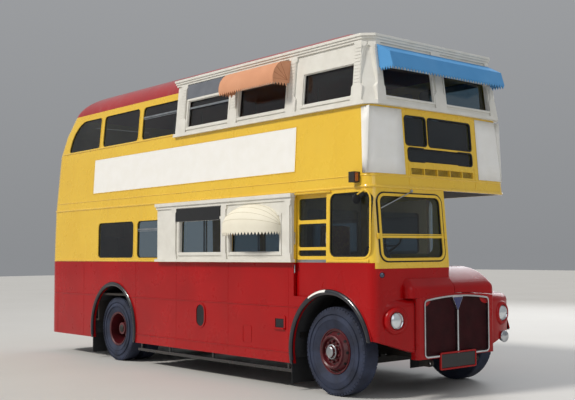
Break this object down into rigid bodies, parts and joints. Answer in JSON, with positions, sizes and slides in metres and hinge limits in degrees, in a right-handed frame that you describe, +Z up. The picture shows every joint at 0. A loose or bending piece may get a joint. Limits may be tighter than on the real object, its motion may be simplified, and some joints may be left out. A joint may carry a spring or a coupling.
{
  "type": "half-cab double decker bus",
  "caption": "Full-size half-cab double decker bus with open rear platform, shop-front mouldings and awnings; steering, wheels, cab door, bonnet and rear window move.",
  "frame": {"origin": "on the ground at mid length and mid width", "axes": "+X forward, +Y to the nearside (left), +Z up"},
  "size_m": [8.382, 3.0706, 4.378],
  "materials": {
    "red_paint": "gloss",
    "yellow_paint": "gloss",
    "roof_paint": "gloss",
    "cream_moulding": "satin",
    "orange_awning": "matte",
    "blue_awning": "matte",
    "cream_awning": "matte",
    "window_glass": "clear",
    "floor_boards": "matte",
    "chassis_black": "matte",
    "engine_grey": "matte",
    "rim_maroon": "satin",
    "tyre": "matte",
    "bright_metal": "polished",
    "moquette": "woven",
    "seat_metal": "satin",
    "black_rubber": "matte",
    "lamp_glass": "polished"
  },
  "bodies": {
    "root": {"skirt_sides": "red_paint", "skirt_rear": "red_paint", "cab_panel": "red_paint", "front_wings": "red_paint", "bonnet_offside": "red_paint", "radiator_cowl": "red_paint", "radiator_grille": "bright_metal", "lower_frames": "yellow_paint", "rear_panel": "yellow_paint", "mid_sides": "yellow_paint", "mid_front": "yellow_paint", "upper_rear": "yellow_paint", "upper_frames": "yellow_paint", "upper_front": "yellow_paint", "cab_frame": "yellow_paint", "roof": "roof_paint", "shopfront_upper": "cream_moulding", "shopfronts_lower": "cream_moulding", "awning_front": "blue_awning", "awnings_upper": "orange_awning", "awnings_lower": "cream_awning", "saloon_glass": "window_glass", "cab_glass": "window_glass", "lower_floor": "floor_boards", "upper_floor": "floor_boards", "bulkhead": "yellow_paint", "staircase": "seat_metal", "handrails": "bright_metal", "seat_frames": "seat_metal", "seat_cushions": "moquette", "driver_seat": "moquette", "cab_fittings": "chassis_black", "underframe": "chassis_black", "engine": "engine_grey", "driveline": "chassis_black", "front_axle": "chassis_black", "arch_trims": "black_rubber", "mirrors": "chassis_black", "lamps": "lamp_glass"},
    "steering_wheel": {"steering_wheel": "black_rubber"},
    "knuckle_offside": {"knuckle_offside": "chassis_black"},
    "knuckle_nearside": {"knuckle_nearside": "chassis_black"},
    "wheel_front_offside": {"wheel_front_offside": "rim_maroon", "tyre_front_offside": "tyre"},
    "wheel_front_nearside": {"wheel_front_nearside": "rim_maroon", "tyre_front_nearside": "tyre"},
    "wheels_rear_offside": {"wheels_rear_offside": "rim_maroon", "tyres_rear_offside": "tyre"},
    "wheels_rear_nearside": {"wheels_rear_nearside": "rim_maroon", "tyres_rear_nearside": "tyre"},
    "cab_door": {"cab_door": "yellow_paint"},
    "bonnet": {"bonnet_lid": "red_paint"},
    "emergency_window": {"emergency_window": "yellow_paint"}
  },
  "joints": [
    {"name": "steering_offside", "type": "hinge", "parent": "root", "child": "knuckle_offside", "pos_m": [3.279, -0.8, 0.515], "axis": [0, 0, 1], "range_deg": [-35, 35]},
    {"name": "steering_nearside", "type": "hinge", "parent": "root", "child": "knuckle_nearside", "pos_m": [3.279, 0.8, 0.515], "axis": [0, 0, 1], "range_deg": [-35, 35]},
    {"name": "steering_wheel_turn", "type": "hinge", "parent": "root", "child": "steering_wheel", "pos_m": [3.609, -0.64, 1.72], "axis": [-0.5171, 0, 0.8559], "range_deg": [-630, 630]},
    {"name": "spin_front_offside", "type": "hinge", "parent": "knuckle_offside", "child": "wheel_front_offside", "pos_m": [3.279, -1.02, 0.515], "axis": [0, 1, 0], "continuous": true},
    {"name": "spin_front_nearside", "type": "hinge", "parent": "knuckle_nearside", "child": "wheel_front_nearside", "pos_m": [3.279, 1.02, 0.515], "axis": [0, 1, 0], "continuous": true},
    {"name": "spin_rear_offside", "type": "hinge", "parent": "root", "child": "wheels_rear_offside", "pos_m": [-1.852, -0.89, 0.495], "axis": [0, 1, 0], "continuous": true},
    {"name": "spin_rear_nearside", "type": "hinge", "parent": "root", "child": "wheels_rear_nearside", "pos_m": [-1.852, 0.89, 0.495], "axis": [0, 1, 0], "continuous": true},
    {"name": "cab_door_slide", "type": "slide", "parent": "root", "child": "cab_door", "axis": [1, 0, 0], "range_m": [-0.55, 0]},
    {"name": "bonnet_hinge", "type": "hinge", "parent": "root", "child": "bonnet", "pos_m": [2.624, -0.012, 1.479], "axis": [1, 0, -0.0058], "range_deg": [0, 65]},
    {"name": "emergency_window_hinge", "type": "hinge", "parent": "root", "child": "emergency_window", "pos_m": [-4.124, 0, 3.424], "axis": [0, 1, 0], "range_deg": [-85, 0]}
  ],
  "couplings": [
    {"joint": "steering_nearside", "follows": "steering_offside", "ratio": 1},
    {"joint": "steering_wheel_turn", "follows": "steering_offside", "ratio": 18}
  ]
}
